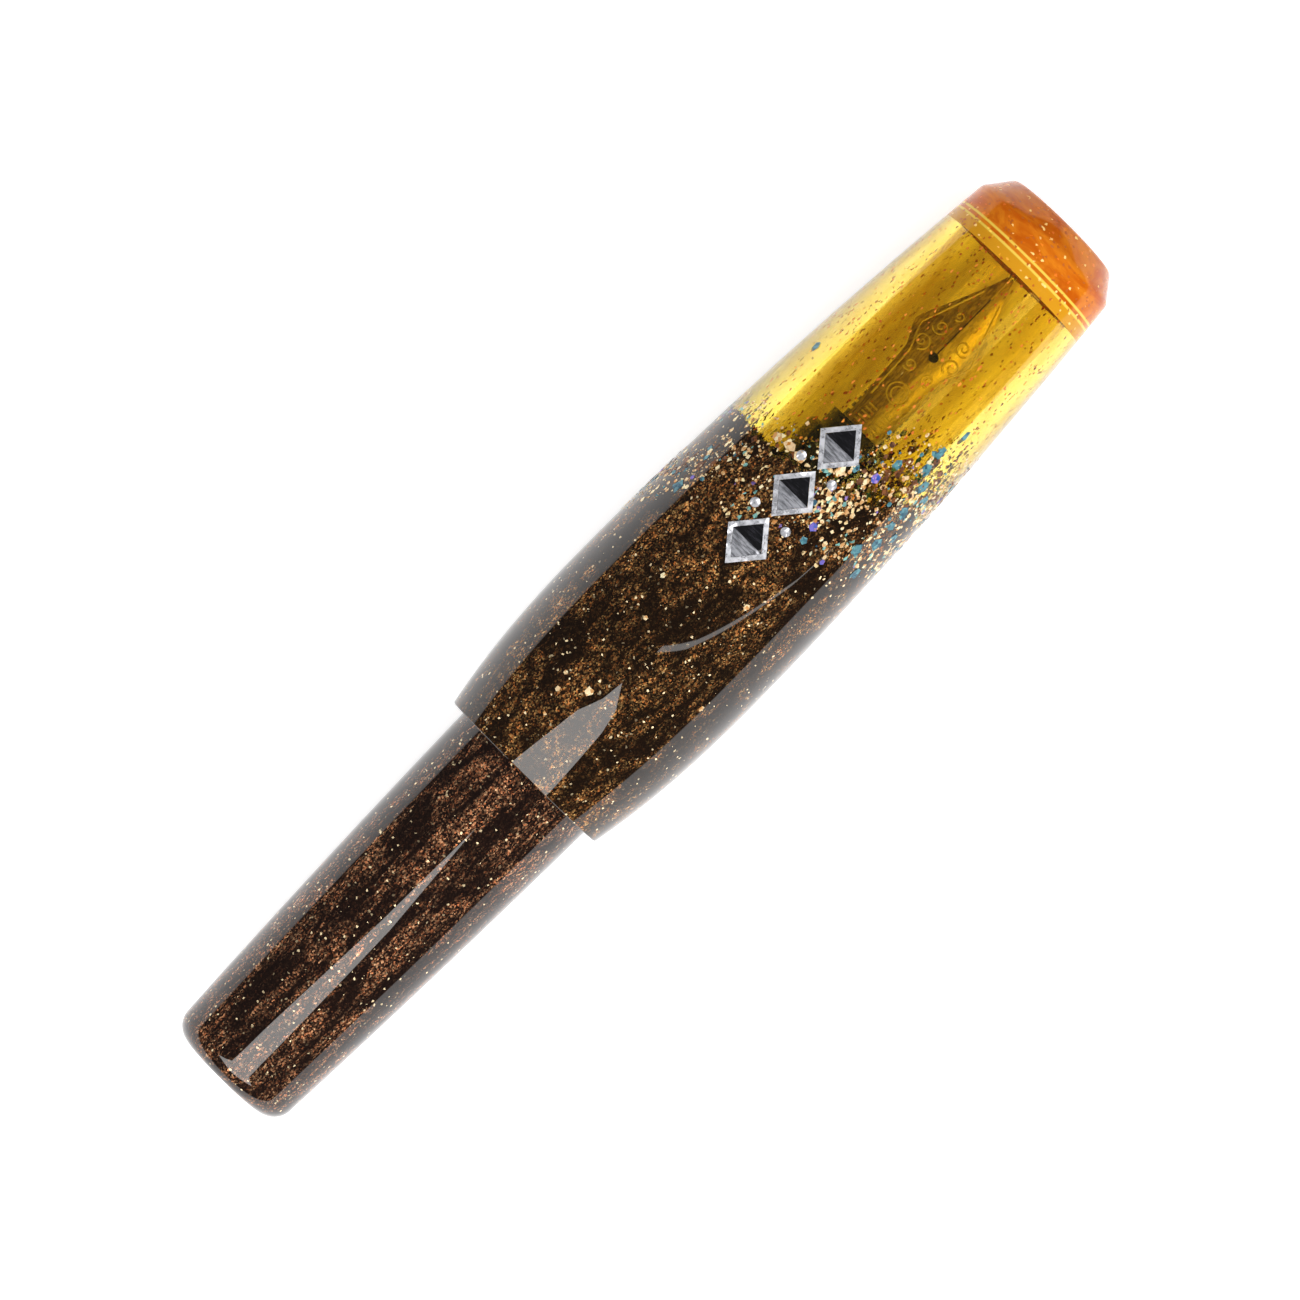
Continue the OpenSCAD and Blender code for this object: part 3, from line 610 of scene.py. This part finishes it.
violet = lay_chips("violet_film_chips", violet_chips, 0.015 * MM)
violet.data.materials.append(film_material("violet_film", (0.01, 0.08, 0.40), (0.36, 0.20, 0.62), 0.2))
crumb_chips = chips_in_band(CRUMB_COUNT, 7 * MM, 1 * MM, 0.12 * MM, 0.8 * MM)
crumbs = lay_chips("dark_resin_crumbs", crumb_chips, 0.015 * MM)
crumbs.data.materials.append(film_material("dark_crumbs", (0.02, 0.008, 0.003), (0.24, 0.08, 0.02), 0.1))

# Small copper chips float all through the clear resin
floating = []
while len(floating) < COPPER_COUNT:
    x = draw.uniform(meeting_x(0) - 2 * MM, JOINT_X - 0.6 * MM)
    angle = draw.uniform(-math.pi, math.pi)
    if x > meeting_x(CAP_MAX_R * math.sin(angle)):
        size = 0.08 * MM + 0.26 * MM * draw.random() ** 3
        floating.append((x, angle, in_wall(x, draw.random()), size, draw.uniform(0.8, 1.8), 0.8, 5))
copper = lay_chips("copper_chips", floating, 0.03 * MM)
copper.data.materials.append(film_material("copper_film", (0.60, 0.16, 0.03), (1.0, 0.48, 0.12), 0.2))
for chip_piece in (gold, teal, violet, crumbs, copper):
    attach(chip_piece, "cap")

# ---------------------------------------------------------------------------------------------
# Finial: a block of orange resin with gold and brown flakes, glued on the cap and bevelled with
# it. The end of the nib chamber is bored a little way into it.
RECESS = 1.0 * MM
DOME = 2.2 * MM
BEVEL_EDGE = 0.4 * MM
SEAM = 1.25 * MM
SEAM_GAP = 0.55 * MM
end_r = CAP_END_R - BEVEL_DROP
dome_r = (CAP_BORE_R**2 + DOME**2) / (2 * DOME)
dome_x = JOINT_X + RECESS + DOME - dome_r
outline = [(JOINT_X, CAP_BORE_R), (JOINT_X, cap_radius(JOINT_X))]
outline += [(x, cap_radius(x)) for x in steps(JOINT_X, BEVEL_X - BEVEL_EDGE, 8)[1:]]

# Two softened corners: where the bevel starts, and where it meets the flat end
outline += [(BEVEL_X - 0.2 * BEVEL_EDGE, cap_radius(BEVEL_X) - 0.06 * MM)]
outline += [(BEVEL_X + 0.5 * BEVEL_EDGE, cap_radius(BEVEL_X) - 0.28 * MM)]
outline += [(CAP_END - 0.6 * BEVEL_EDGE, end_r + 0.25 * MM), (CAP_END - 0.15 * BEVEL_EDGE, end_r - 0.02 * MM)]
outline += [(CAP_END, end_r - BEVEL_EDGE), (CAP_END, 0)]

# The dome that ends the nib chamber
outline += [
    (dome_x + dome_r * math.cos(a), dome_r * math.sin(a))
    for a in steps(0, math.asin(CAP_BORE_R / dome_r), 14)
]
outline += [(JOINT_X, CAP_BORE_R)]
finial = turned_piece("finial_resin", outline, sides=144)

orange_resin, tree, shader = new_material("orange_resin")
swirl = fade(tree, noise(tree, object_place(tree, (420, 170, 170)), 1.0, 6.0, 0.65, 1.5), 0.35, 0.68)
colour = mix_colours(tree, swirl, (0.62, 0.115, 0.003), (0.85, 0.26, 0.013))

# A clearer amber layer next to the cap, and two bright lines where the glue catches the light
along, _ = along_and_aside(tree)
seam = fade(tree, along, JOINT_X + SEAM - 0.1 * MM, JOINT_X + SEAM)
colour = mix_colours(tree, seam, (0.78, 0.36, 0.016), colour)
for place in (SEAM, SEAM + SEAM_GAP):
    off_line = sums(tree, "ABSOLUTE", sums(tree, "SUBTRACT", along, JOINT_X + place), 0.0)
    on_line = fade(tree, off_line, 0.06 * MM, 0.16 * MM, 1.0, 0.0)
    colour = mix_colours(tree, on_line, colour, (1.0, 0.72, 0.10))
flake = chips(tree, object_place(tree, (1.0, 0.8, 0.8)), 5000)
colour = mix_colours(tree, fade(tree, flake[0], 0.955, 0.965), colour, (0.45, 0.10, 0.01))
colour = mix_colours(tree, fade(tree, flake[1], 0.978, 0.988), colour, (1.0, 0.68, 0.22))
opaque = fade(tree, sums(tree, "MAXIMUM", flake[0], flake[1]), 0.955, 0.97)
tree.links.new(colour, shader.inputs["Base Color"])
tree.links.new(fade(tree, opaque, 0, 1, 0.22, 0.0), shader.inputs["Transmission Weight"])
tree.links.new(fade(tree, opaque, 0, 1, 0.03, 0.4), shader.inputs["Roughness"])
shader.inputs["IOR"].default_value = 1.36
shader.inputs["Specular IOR Level"].default_value = 0.35
finial.data.materials.append(orange_resin)
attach(finial, "cap_end")
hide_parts("cap_finial")

# ---------------------------------------------------------------------------------------------
# Emblem: three lozenges and four beads of silver let into the cap, ground down almost to its skin
# and polished. One half of each lozenge holds brushed silver and the other half black enamel.
EMBLEM_X = LIP_X + 33.75 * MM
LOZENGE_PITCH = 5.7 * MM
PROUD = 0.05 * MM


def merged_copy(node, name, lift, smooth_below):
    """A copy of a frame node, merged, lifted a little and smoothed below an angle in degrees."""
    bpy.ops.object.select_all(action="DESELECT")
    original = frame["nodes"][node]
    bpy.context.view_layer.objects.active = original
    original.select_set(True)
    bpy.ops.object.duplicate()
    piece = bpy.context.object
    piece.name = name
    piece.data.materials.clear()
    bpy.ops.object.parent_clear(type="CLEAR_KEEP_TRANSFORM")
    bpy.ops.object.mode_set(mode="EDIT")
    bpy.ops.mesh.select_all(action="SELECT")
    bpy.ops.mesh.remove_doubles(threshold=WELD)
    bpy.ops.transform.translate(value=(0, 0, lift))
    bpy.ops.object.mode_set(mode="OBJECT")
    bpy.ops.object.shade_smooth_by_angle(angle=math.radians(smooth_below))
    return piece


outline_silver = merged_copy("cap_emblem", "emblem_silver", PROUD, 25)
silver, tree, shader = new_material("polished_silver")
worn = noise(tree, object_place(tree), 1500, 5.0, 0.7)
tree.links.new(
    mix_colours(tree, fade(tree, worn, 0.35, 0.65), (0.50, 0.51, 0.55), (0.86, 0.87, 0.92)),
    shader.inputs["Base Color"],
)
tree.links.new(fade(tree, worn, 0.3, 0.7, 0.2, 0.45), shader.inputs["Roughness"])
shader.inputs["Metallic"].default_value = 0.55
outline_silver.data.materials.append(silver)
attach(outline_silver, "cap")
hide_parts("cap_emblem")

filling = merged_copy("emblem_enamel", "emblem_filling", PROUD, 25)
enamel, tree, shader = new_material("brushed_silver_and_enamel")
along, _ = along_and_aside(tree)
from_first = sums(tree, "SUBTRACT", along, EMBLEM_X - 1.5 * LOZENGE_PITCH)
in_lozenge = sums(tree, "FRACT", sums(tree, "DIVIDE", from_first, LOZENGE_PITCH), 0.0)
metal_half = fade(tree, in_lozenge, 0.495, 0.505, 1.0, 0.0)
scratches = noise(tree, object_place(tree, (5200, 700, 700)), 1.0, 4.0, 0.7)
brushed = mix_colours(tree, fade(tree, scratches, 0.38, 0.62), (0.12, 0.125, 0.14), (0.42, 0.43, 0.47))
glaze = mix_colours(tree, fade(tree, scratches, 0.45, 0.7), (0.006, 0.006, 0.007), (0.02, 0.02, 0.024))
tree.links.new(mix_colours(tree, metal_half, glaze, brushed), shader.inputs["Base Color"])
tree.links.new(sums(tree, "MULTIPLY", metal_half, 0.5), shader.inputs["Metallic"])
tree.links.new(fade(tree, metal_half, 0, 1, 0.12, 0.4), shader.inputs["Roughness"])
filling.data.materials.append(enamel)
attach(filling, "cap")
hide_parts("emblem_enamel")

# ---------------------------------------------------------------------------------------------
# Section: turned from plain dark resin in one piece, with a tenon threaded into the barrel, a
# flange that the cap seats on, a four-start cap thread and a grip waisted for the fingers.
SECTION_BORE_R = 4.0 * MM
TENON_R = 5.65 * MM
FLANGE_R = 7.34 * MM
SECTION_THREAD_R = 6.75 * MM
THREAD_DEPTH = 0.35 * MM
RIB_ROOT = 0.05 * MM
RIB_CREST = 0.09
RIB_CREST_DROP = 0.02 * MM
TENON_LEAD = 2 * MM
TENON_STARTS = 2
CAP_LEAD = 5 * MM
CAP_STARTS = 4
GRIP_LENGTH = 20.4 * MM
GRIP_REAR_R = 5.9 * MM
GRIP_TAPER = 1.95 * MM
GRIP_FLARE = 0.15 * MM
WAIST_AT = 0.8
GRIP_EDGE = 0.5 * MM
COLLAR_LENGTH = 15 * MM
COLLAR_R = 3.06 * MM
FRONT_X = GRIP_X + GRIP_LENGTH
TENON_X = MOUTH_X - BARREL_THREAD


def grip_radius(share):
    """The grip's outside at a share of its length: a long waist with a small flare at the front."""
    waist = GRIP_TAPER * math.sin(math.pi / 2 * min(share / WAIST_AT, 1))
    return GRIP_REAR_R - waist + GRIP_FLARE * (max(share - WAIST_AT, 0) / (1 - WAIST_AT)) ** 2


outline = [(TENON_X, SECTION_BORE_R), (TENON_X, TENON_R - THREAD_DEPTH), (MOUTH_X, TENON_R - THREAD_DEPTH)]
outline += [(MOUTH_X, FLANGE_R - SMALL_EDGE), (MOUTH_X + SMALL_EDGE, FLANGE_R)]
outline += [(FLANGE_X - SMALL_EDGE, FLANGE_R), (FLANGE_X, FLANGE_R - SMALL_EDGE)]
outline += [(FLANGE_X, SECTION_THREAD_R - THREAD_DEPTH), (GRIP_X, SECTION_THREAD_R - THREAD_DEPTH)]
outline += [(GRIP_X + (GRIP_LENGTH - GRIP_EDGE) * u, grip_radius(u)) for u in steps(0, 1, 36)]
outline += [
    (FRONT_X - GRIP_EDGE * (1 - math.sin(a)), grip_radius(1) - GRIP_EDGE * (1 - math.cos(a)))
    for a in steps(0, math.pi / 2, 8)[1:]
]
outline += [(FRONT_X, COLLAR_R), (FRONT_X - COLLAR_LENGTH, COLLAR_R)]
outline += [(FRONT_X - COLLAR_LENGTH, SECTION_BORE_R), (TENON_X, SECTION_BORE_R)]
section = turned_piece("grip_resin", outline, sides=112)


def cut_thread(name, start, end, radius, lead, starts):
    """The ridges of a screw thread: a pointed rib wound round the pen, once for each start."""
    pitch = lead / starts
    turns = (end - start - pitch) / lead
    foot = radius - THREAD_DEPTH - RIB_ROOT
    crest = radius - RIB_CREST_DROP
    crest_half = RIB_CREST * pitch
    middle = start + pitch / 2
    ribs = []
    for i in range(starts):
        rib = start_piece(name)
        draw_line(
            [
                (start, 0, foot),
                (middle - crest_half, 0, crest),
                (middle + crest_half, 0, crest),
                (start + pitch * 0.98, 0, foot),
            ]
        )
        bpy.ops.mesh.select_all(action="SELECT")
        bpy.ops.mesh.edge_face_add()
        bpy.ops.mesh.delete(type="ONLY_FACE")
        bpy.ops.mesh.select_all(action="SELECT")
        bpy.ops.transform.rotate(
            value=2 * math.pi * i / starts, orient_axis="X", center_override=(0, 0, 0)
        )
        bpy.ops.object.mode_set(mode="OBJECT")
        wind = rib.modifiers.new("wind", "SCREW")
        wind.axis = "X"
        wind.angle = 2 * math.pi * turns
        wind.screw_offset = lead * turns
        wind.steps = wind.render_steps = round(64 * turns)
        bpy.ops.object.modifier_apply(modifier=wind.name)
        bpy.ops.object.mode_set(mode="EDIT")
        bpy.ops.mesh.select_all(action="SELECT")
        bpy.ops.mesh.fill_holes(sides=4)
        bpy.ops.mesh.select_all(action="SELECT")
        bpy.ops.mesh.normals_make_consistent(inside=False)
        bpy.ops.transform.translate(value=(0, 0, axis_z))
        bpy.ops.object.mode_set(mode="OBJECT")
        ribs.append(rib)
    bpy.ops.object.select_all(action="DESELECT")
    for rib in ribs:
        rib.select_set(True)
    bpy.ops.object.join()
    bpy.context.object.name = name
    bpy.ops.object.shade_smooth_by_angle(angle=math.radians(30))
    return bpy.context.object


tenon_thread = cut_thread(
    "tenon_thread", TENON_X + 0.3 * MM, MOUTH_X - 1.2 * MM, TENON_R, TENON_LEAD, TENON_STARTS
)
cap_thread = cut_thread(
    "cap_thread", FLANGE_X + 0.1 * MM, GRIP_X, SECTION_THREAD_R, CAP_LEAD, CAP_STARTS
)
GRIP_DARK = (0.005, 0.003, 0.002)
GRIP_COPPER = (0.16, 0.06, 0.025)
GRIP_GOLD = (0.25, 0.13, 0.06)
dark_resin = polished_mica(
    "dark_grip_resin", 0.4, GRIP_DARK, GRIP_COPPER, GRIP_GOLD, (120, 500, 500), 0.5, 0.7
)
for piece in (section, tenon_thread, cap_thread):
    piece.data.materials.append(dark_resin)
    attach(piece, "grip")
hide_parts("grip_section")

# ---------------------------------------------------------------------------------------------
# Nib: stamped from thin steel, arched, slit and gilded, with a hard ball welded to its point.
# Its shoulders carry an engraved border, scrolls, a ringed seal and a ladder of short bars.
COLLAR_X = FRONT_X + 1.8 * MM
TIP_X = COLLAR_X + 18.9 * MM
SHOULDER_X = TIP_X - 8.2 * MM
NECK_X = SHOULDER_X - 2.9 * MM
DROOP_X = COLLAR_X + 7.75 * MM
NIB_R = 2.57 * MM
SHOULDER_ARCH = 4.2 * MM
SHOULDER_HALF = 3.6 * MM
NECK_HALF = 2.4 * MM
TAIL_HALF = 1.85 * MM
POINT_HALF = 0.25 * MM
POINT_CURVE = 1.15
DROOP = 1.5 * MM
DROOP_CURVE = 1.6
RING_X = COLLAR_X + 4.6 * MM
RING_RADII = (0.62 * MM, 1.0 * MM)
BORDER_AT = 0.80
BAR_START = 0.5 * MM
BAR_GAP = 0.45 * MM
BAR_COUNT = 5
BAR_POINTS = (0.25 * MM, 0.75 * MM, 1.2 * MM)
LINE_R = 0.09 * MM


def part_way(x, start, end):
    """How far x is on its way from start to end, from 0 to 1."""
    return min(max((x - start) / (end - start), 0), 1)


def eased(share):
    """A share that leaves and arrives gently."""
    return share * share * (3 - 2 * share)


def nib_half(x):
    """Half the width of the nib at a place along it."""
    if x < NECK_X:
        return TAIL_HALF + (NECK_HALF - TAIL_HALF) * part_way(x, COLLAR_X, NECK_X)
    if x < SHOULDER_X:
        return NECK_HALF + (SHOULDER_HALF - NECK_HALF) * eased(part_way(x, NECK_X, SHOULDER_X))
    taper = (1 - part_way(x, SHOULDER_X, TIP_X)) ** POINT_CURVE
    return POINT_HALF + (SHOULDER_HALF - POINT_HALF) * taper


def on_nib(x, y):
    """The point of the nib's upper face at a place along and across it."""
    if x < SHOULDER_X:
        arch = NIB_R + (SHOULDER_ARCH - NIB_R) * eased(part_way(x, COLLAR_X, SHOULDER_X))
    else:
        arch = SHOULDER_ARCH + (NIB_R - SHOULDER_ARCH) * part_way(x, SHOULDER_X, TIP_X)
    top = NIB_R - DROOP * part_way(x, DROOP_X, TIP_X) ** DROOP_CURVE
    return (x, y, axis_z + top - arch + math.sqrt(max(arch**2 - y**2, 0)))


nib = merged_copy("nib", "nib_sheet", 0, 35)


def engraved_line(points):
    """One raised line of the engraving, drawn over the nib's face."""
    start_piece("nib_line")
    draw_line([on_nib(x, y) for x, y in points])
    bpy.ops.object.mode_set(mode="OBJECT")
    bpy.ops.object.convert(target="CURVE")
    line = bpy.context.object
    line.data.bevel_depth = LINE_R
    line.data.bevel_resolution = 1
    line.data.use_fill_caps = True
    bpy.ops.object.convert(target="MESH")
    return bpy.context.object


def scroll(x, y, size, turns, side, spin):
    """A spiral that winds in towards its middle."""
    points = []
    for u in steps(0, 1, 34):
        angle = spin + side * 2 * math.pi * turns * u
        reach = size * (1 - 0.85 * u)
        points.append((x + reach * math.cos(angle), y + reach * math.sin(angle)))
    return points


lines = []
round_ring = steps(0, 2 * math.pi, 30)
for radius in RING_RADII:
    lines.append([(RING_X + radius * math.cos(a), radius * math.sin(a)) for a in round_ring])
for side in (-1, 1):
    border = steps(COLLAR_X + 3 * MM, TIP_X - 2.6 * MM, 40)
    lines.append([(x, side * BORDER_AT * nib_half(x)) for x in border])
    for i in range(BAR_COUNT):
        bar_x = COLLAR_X + BAR_START + BAR_GAP * i
        lines.append([(bar_x, side * y) for y in BAR_POINTS])
    # Each scroll's place, size, number of turns and the angle at which it starts
    for x, y, size, turns, spin in (
        (7.2, 1.05, 0.62, 1.4, 2.6),
        (9.4, 1.75, 0.85, 1.5, 3.4),
        (11.4, 1.35, 0.75, 1.4, 2.2),
        (13.2, 0.85, 0.48, 1.3, 3.0),
    ):
        lines.append(scroll(COLLAR_X + x * MM, side * y * MM, size * MM, turns, side, side * spin))
engraving = [engraved_line(points) for points in lines]
bpy.ops.object.select_all(action="DESELECT")
for line in engraving:
    line.select_set(True)
bpy.ops.object.join()
engraving = bpy.context.object
engraving.name = "nib_engraving"
bpy.ops.object.shade_smooth_by_angle(angle=math.radians(60))


def metal_finish(name, dull, bright, smooth, rough, metallic=1.0, drawn_out=(900, 3000, 3000)):
    """Metal with fine drawn marks that change its colour and its gloss."""
    material, tree, shader = new_material(name)
    marks = noise(tree, object_place(tree, drawn_out), 1.0, 5.0, 0.65)
    colour = mix_colours(tree, fade(tree, marks, 0.35, 0.65), dull, bright)
    tree.links.new(colour, shader.inputs["Base Color"])
    tree.links.new(fade(tree, marks, 0.3, 0.7, smooth, rough), shader.inputs["Roughness"])
    shader.inputs["Metallic"].default_value = metallic
    return material


# Painted light and shade: the gilding is painted darker on the nib's +Y half and lighter on the half towards
# the side lamp; the drawn marks in both are the metal's own
plate, tree, shader = new_material("nib_plate")
marks = noise(tree, object_place(tree, (900, 3000, 3000)), 1.0, 5.0, 0.65)
worn = fade(tree, marks, 0.35, 0.65)
painted_shade_gilding = mix_colours(tree, worn, (0.36, 0.28, 0.13), (0.72, 0.58, 0.34))
bright = mix_colours(tree, worn, (0.90, 0.78, 0.50), (1.0, 0.93, 0.70))
_, aside = along_and_aside(tree)
# Painted shade on the +Y half of the nib, painted light on the other half
painted_shade_side = fade(tree, aside, -0.3 * MM, 0.2 * MM)
tree.links.new(mix_colours(tree, painted_shade_side, bright, painted_shade_gilding), shader.inputs["Base Color"])
tree.links.new(fade(tree, marks, 0.3, 0.7, 0.2, 0.34), shader.inputs["Roughness"])
shader.inputs["Metallic"].default_value = 0.3
nib.data.materials.append(plate)
# The engraving's lines are shaped in the mesh; their pale, barely metallic colour is a painted highlight
# standing in for the glint of the cut lines
line_painted_glint = metal_finish("nib_line_painted_glint", (1, 0.88, 0.6), (1, 0.97, 0.8), 0.2, 0.4, 0.1)
engraving.data.materials.append(line_painted_glint)
for piece in (nib, engraving):
    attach(piece, "grip")
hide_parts("nib")


def finish_node(node, material):
    """Puts a material on a frame node that keeps its own shape."""
    for place in frame["nodes"][node].material_slots:
        place.material = material


finish_node("nib_tipping", metal_finish("tipping_alloy", (0.55, 0.56, 0.58), (0.85, 0.86, 0.88), 0.15, 0.35))

# ---------------------------------------------------------------------------------------------
# Feed, collar and converter: moulded black plastic round the nib, and behind it a clear ink tube
# in a metal sleeve, with a turning knob whose nut draws a steel spindle and piston.


def moulded(name, base, light, smooth, rough, grain=2600):
    """Moulded plastic or rubber with a faint skin texture."""
    material, tree, shader = new_material(name)
    plain = object_place(tree)
    skin = noise(tree, plain, grain, 4.0, 0.6)
    tree.links.new(mix_colours(tree, fade(tree, skin, 0.3, 0.7), base, light), shader.inputs["Base Color"])
    tree.links.new(fade(tree, skin, 0.3, 0.7, smooth, rough), shader.inputs["Roughness"])
    raise_bumps(tree, shader, skin, 0.01 * MM)
    return material


black_plastic = moulded("black_moulded_plastic", (0.010, 0.010, 0.011), (0.022, 0.022, 0.024), 0.22, 0.38)
knob_plastic = moulded("knob_plastic", (0.014, 0.014, 0.015), (0.035, 0.035, 0.037), 0.3, 0.5)
rubber = moulded("seal_rubber", (0.008, 0.008, 0.008), (0.02, 0.02, 0.02), 0.55, 0.75, 3600)
for node in ("feed", "nib_collar", "converter_mouth"):
    finish_node(node, black_plastic)
for node in ("converter_knob", "spindle_guide", "spindle_nut", "piston_head"):
    finish_node(node, knob_plastic)
for node in ("barrel_seal", "piston_seal"):
    finish_node(node, rubber)
finish_node(
    "converter_sleeve",
    metal_finish("brushed_sleeve", (0.50, 0.50, 0.52), (0.82, 0.82, 0.84), 0.2, 0.36, 1.0, (7000, 600, 600)),
)
finish_node("spindle", metal_finish("drawn_steel", (0.45, 0.46, 0.48), (0.75, 0.76, 0.78), 0.18, 0.34))

clear_plastic, tree, shader = new_material("clear_ink_tube")
haze = noise(tree, object_place(tree, (300, 1200, 1200)), 1.0, 5.0, 0.6)
tree.links.new(
    mix_colours(tree, fade(tree, haze, 0.3, 0.7), (0.86, 0.90, 0.93), (0.97, 0.98, 0.99)),
    shader.inputs["Base Color"],
)
tree.links.new(fade(tree, haze, 0.35, 0.75, 0.02, 0.12), shader.inputs["Roughness"])
shader.inputs["Transmission Weight"].default_value = 0.94
shader.inputs["IOR"].default_value = 1.49
finish_node("converter_tube", clear_plastic)
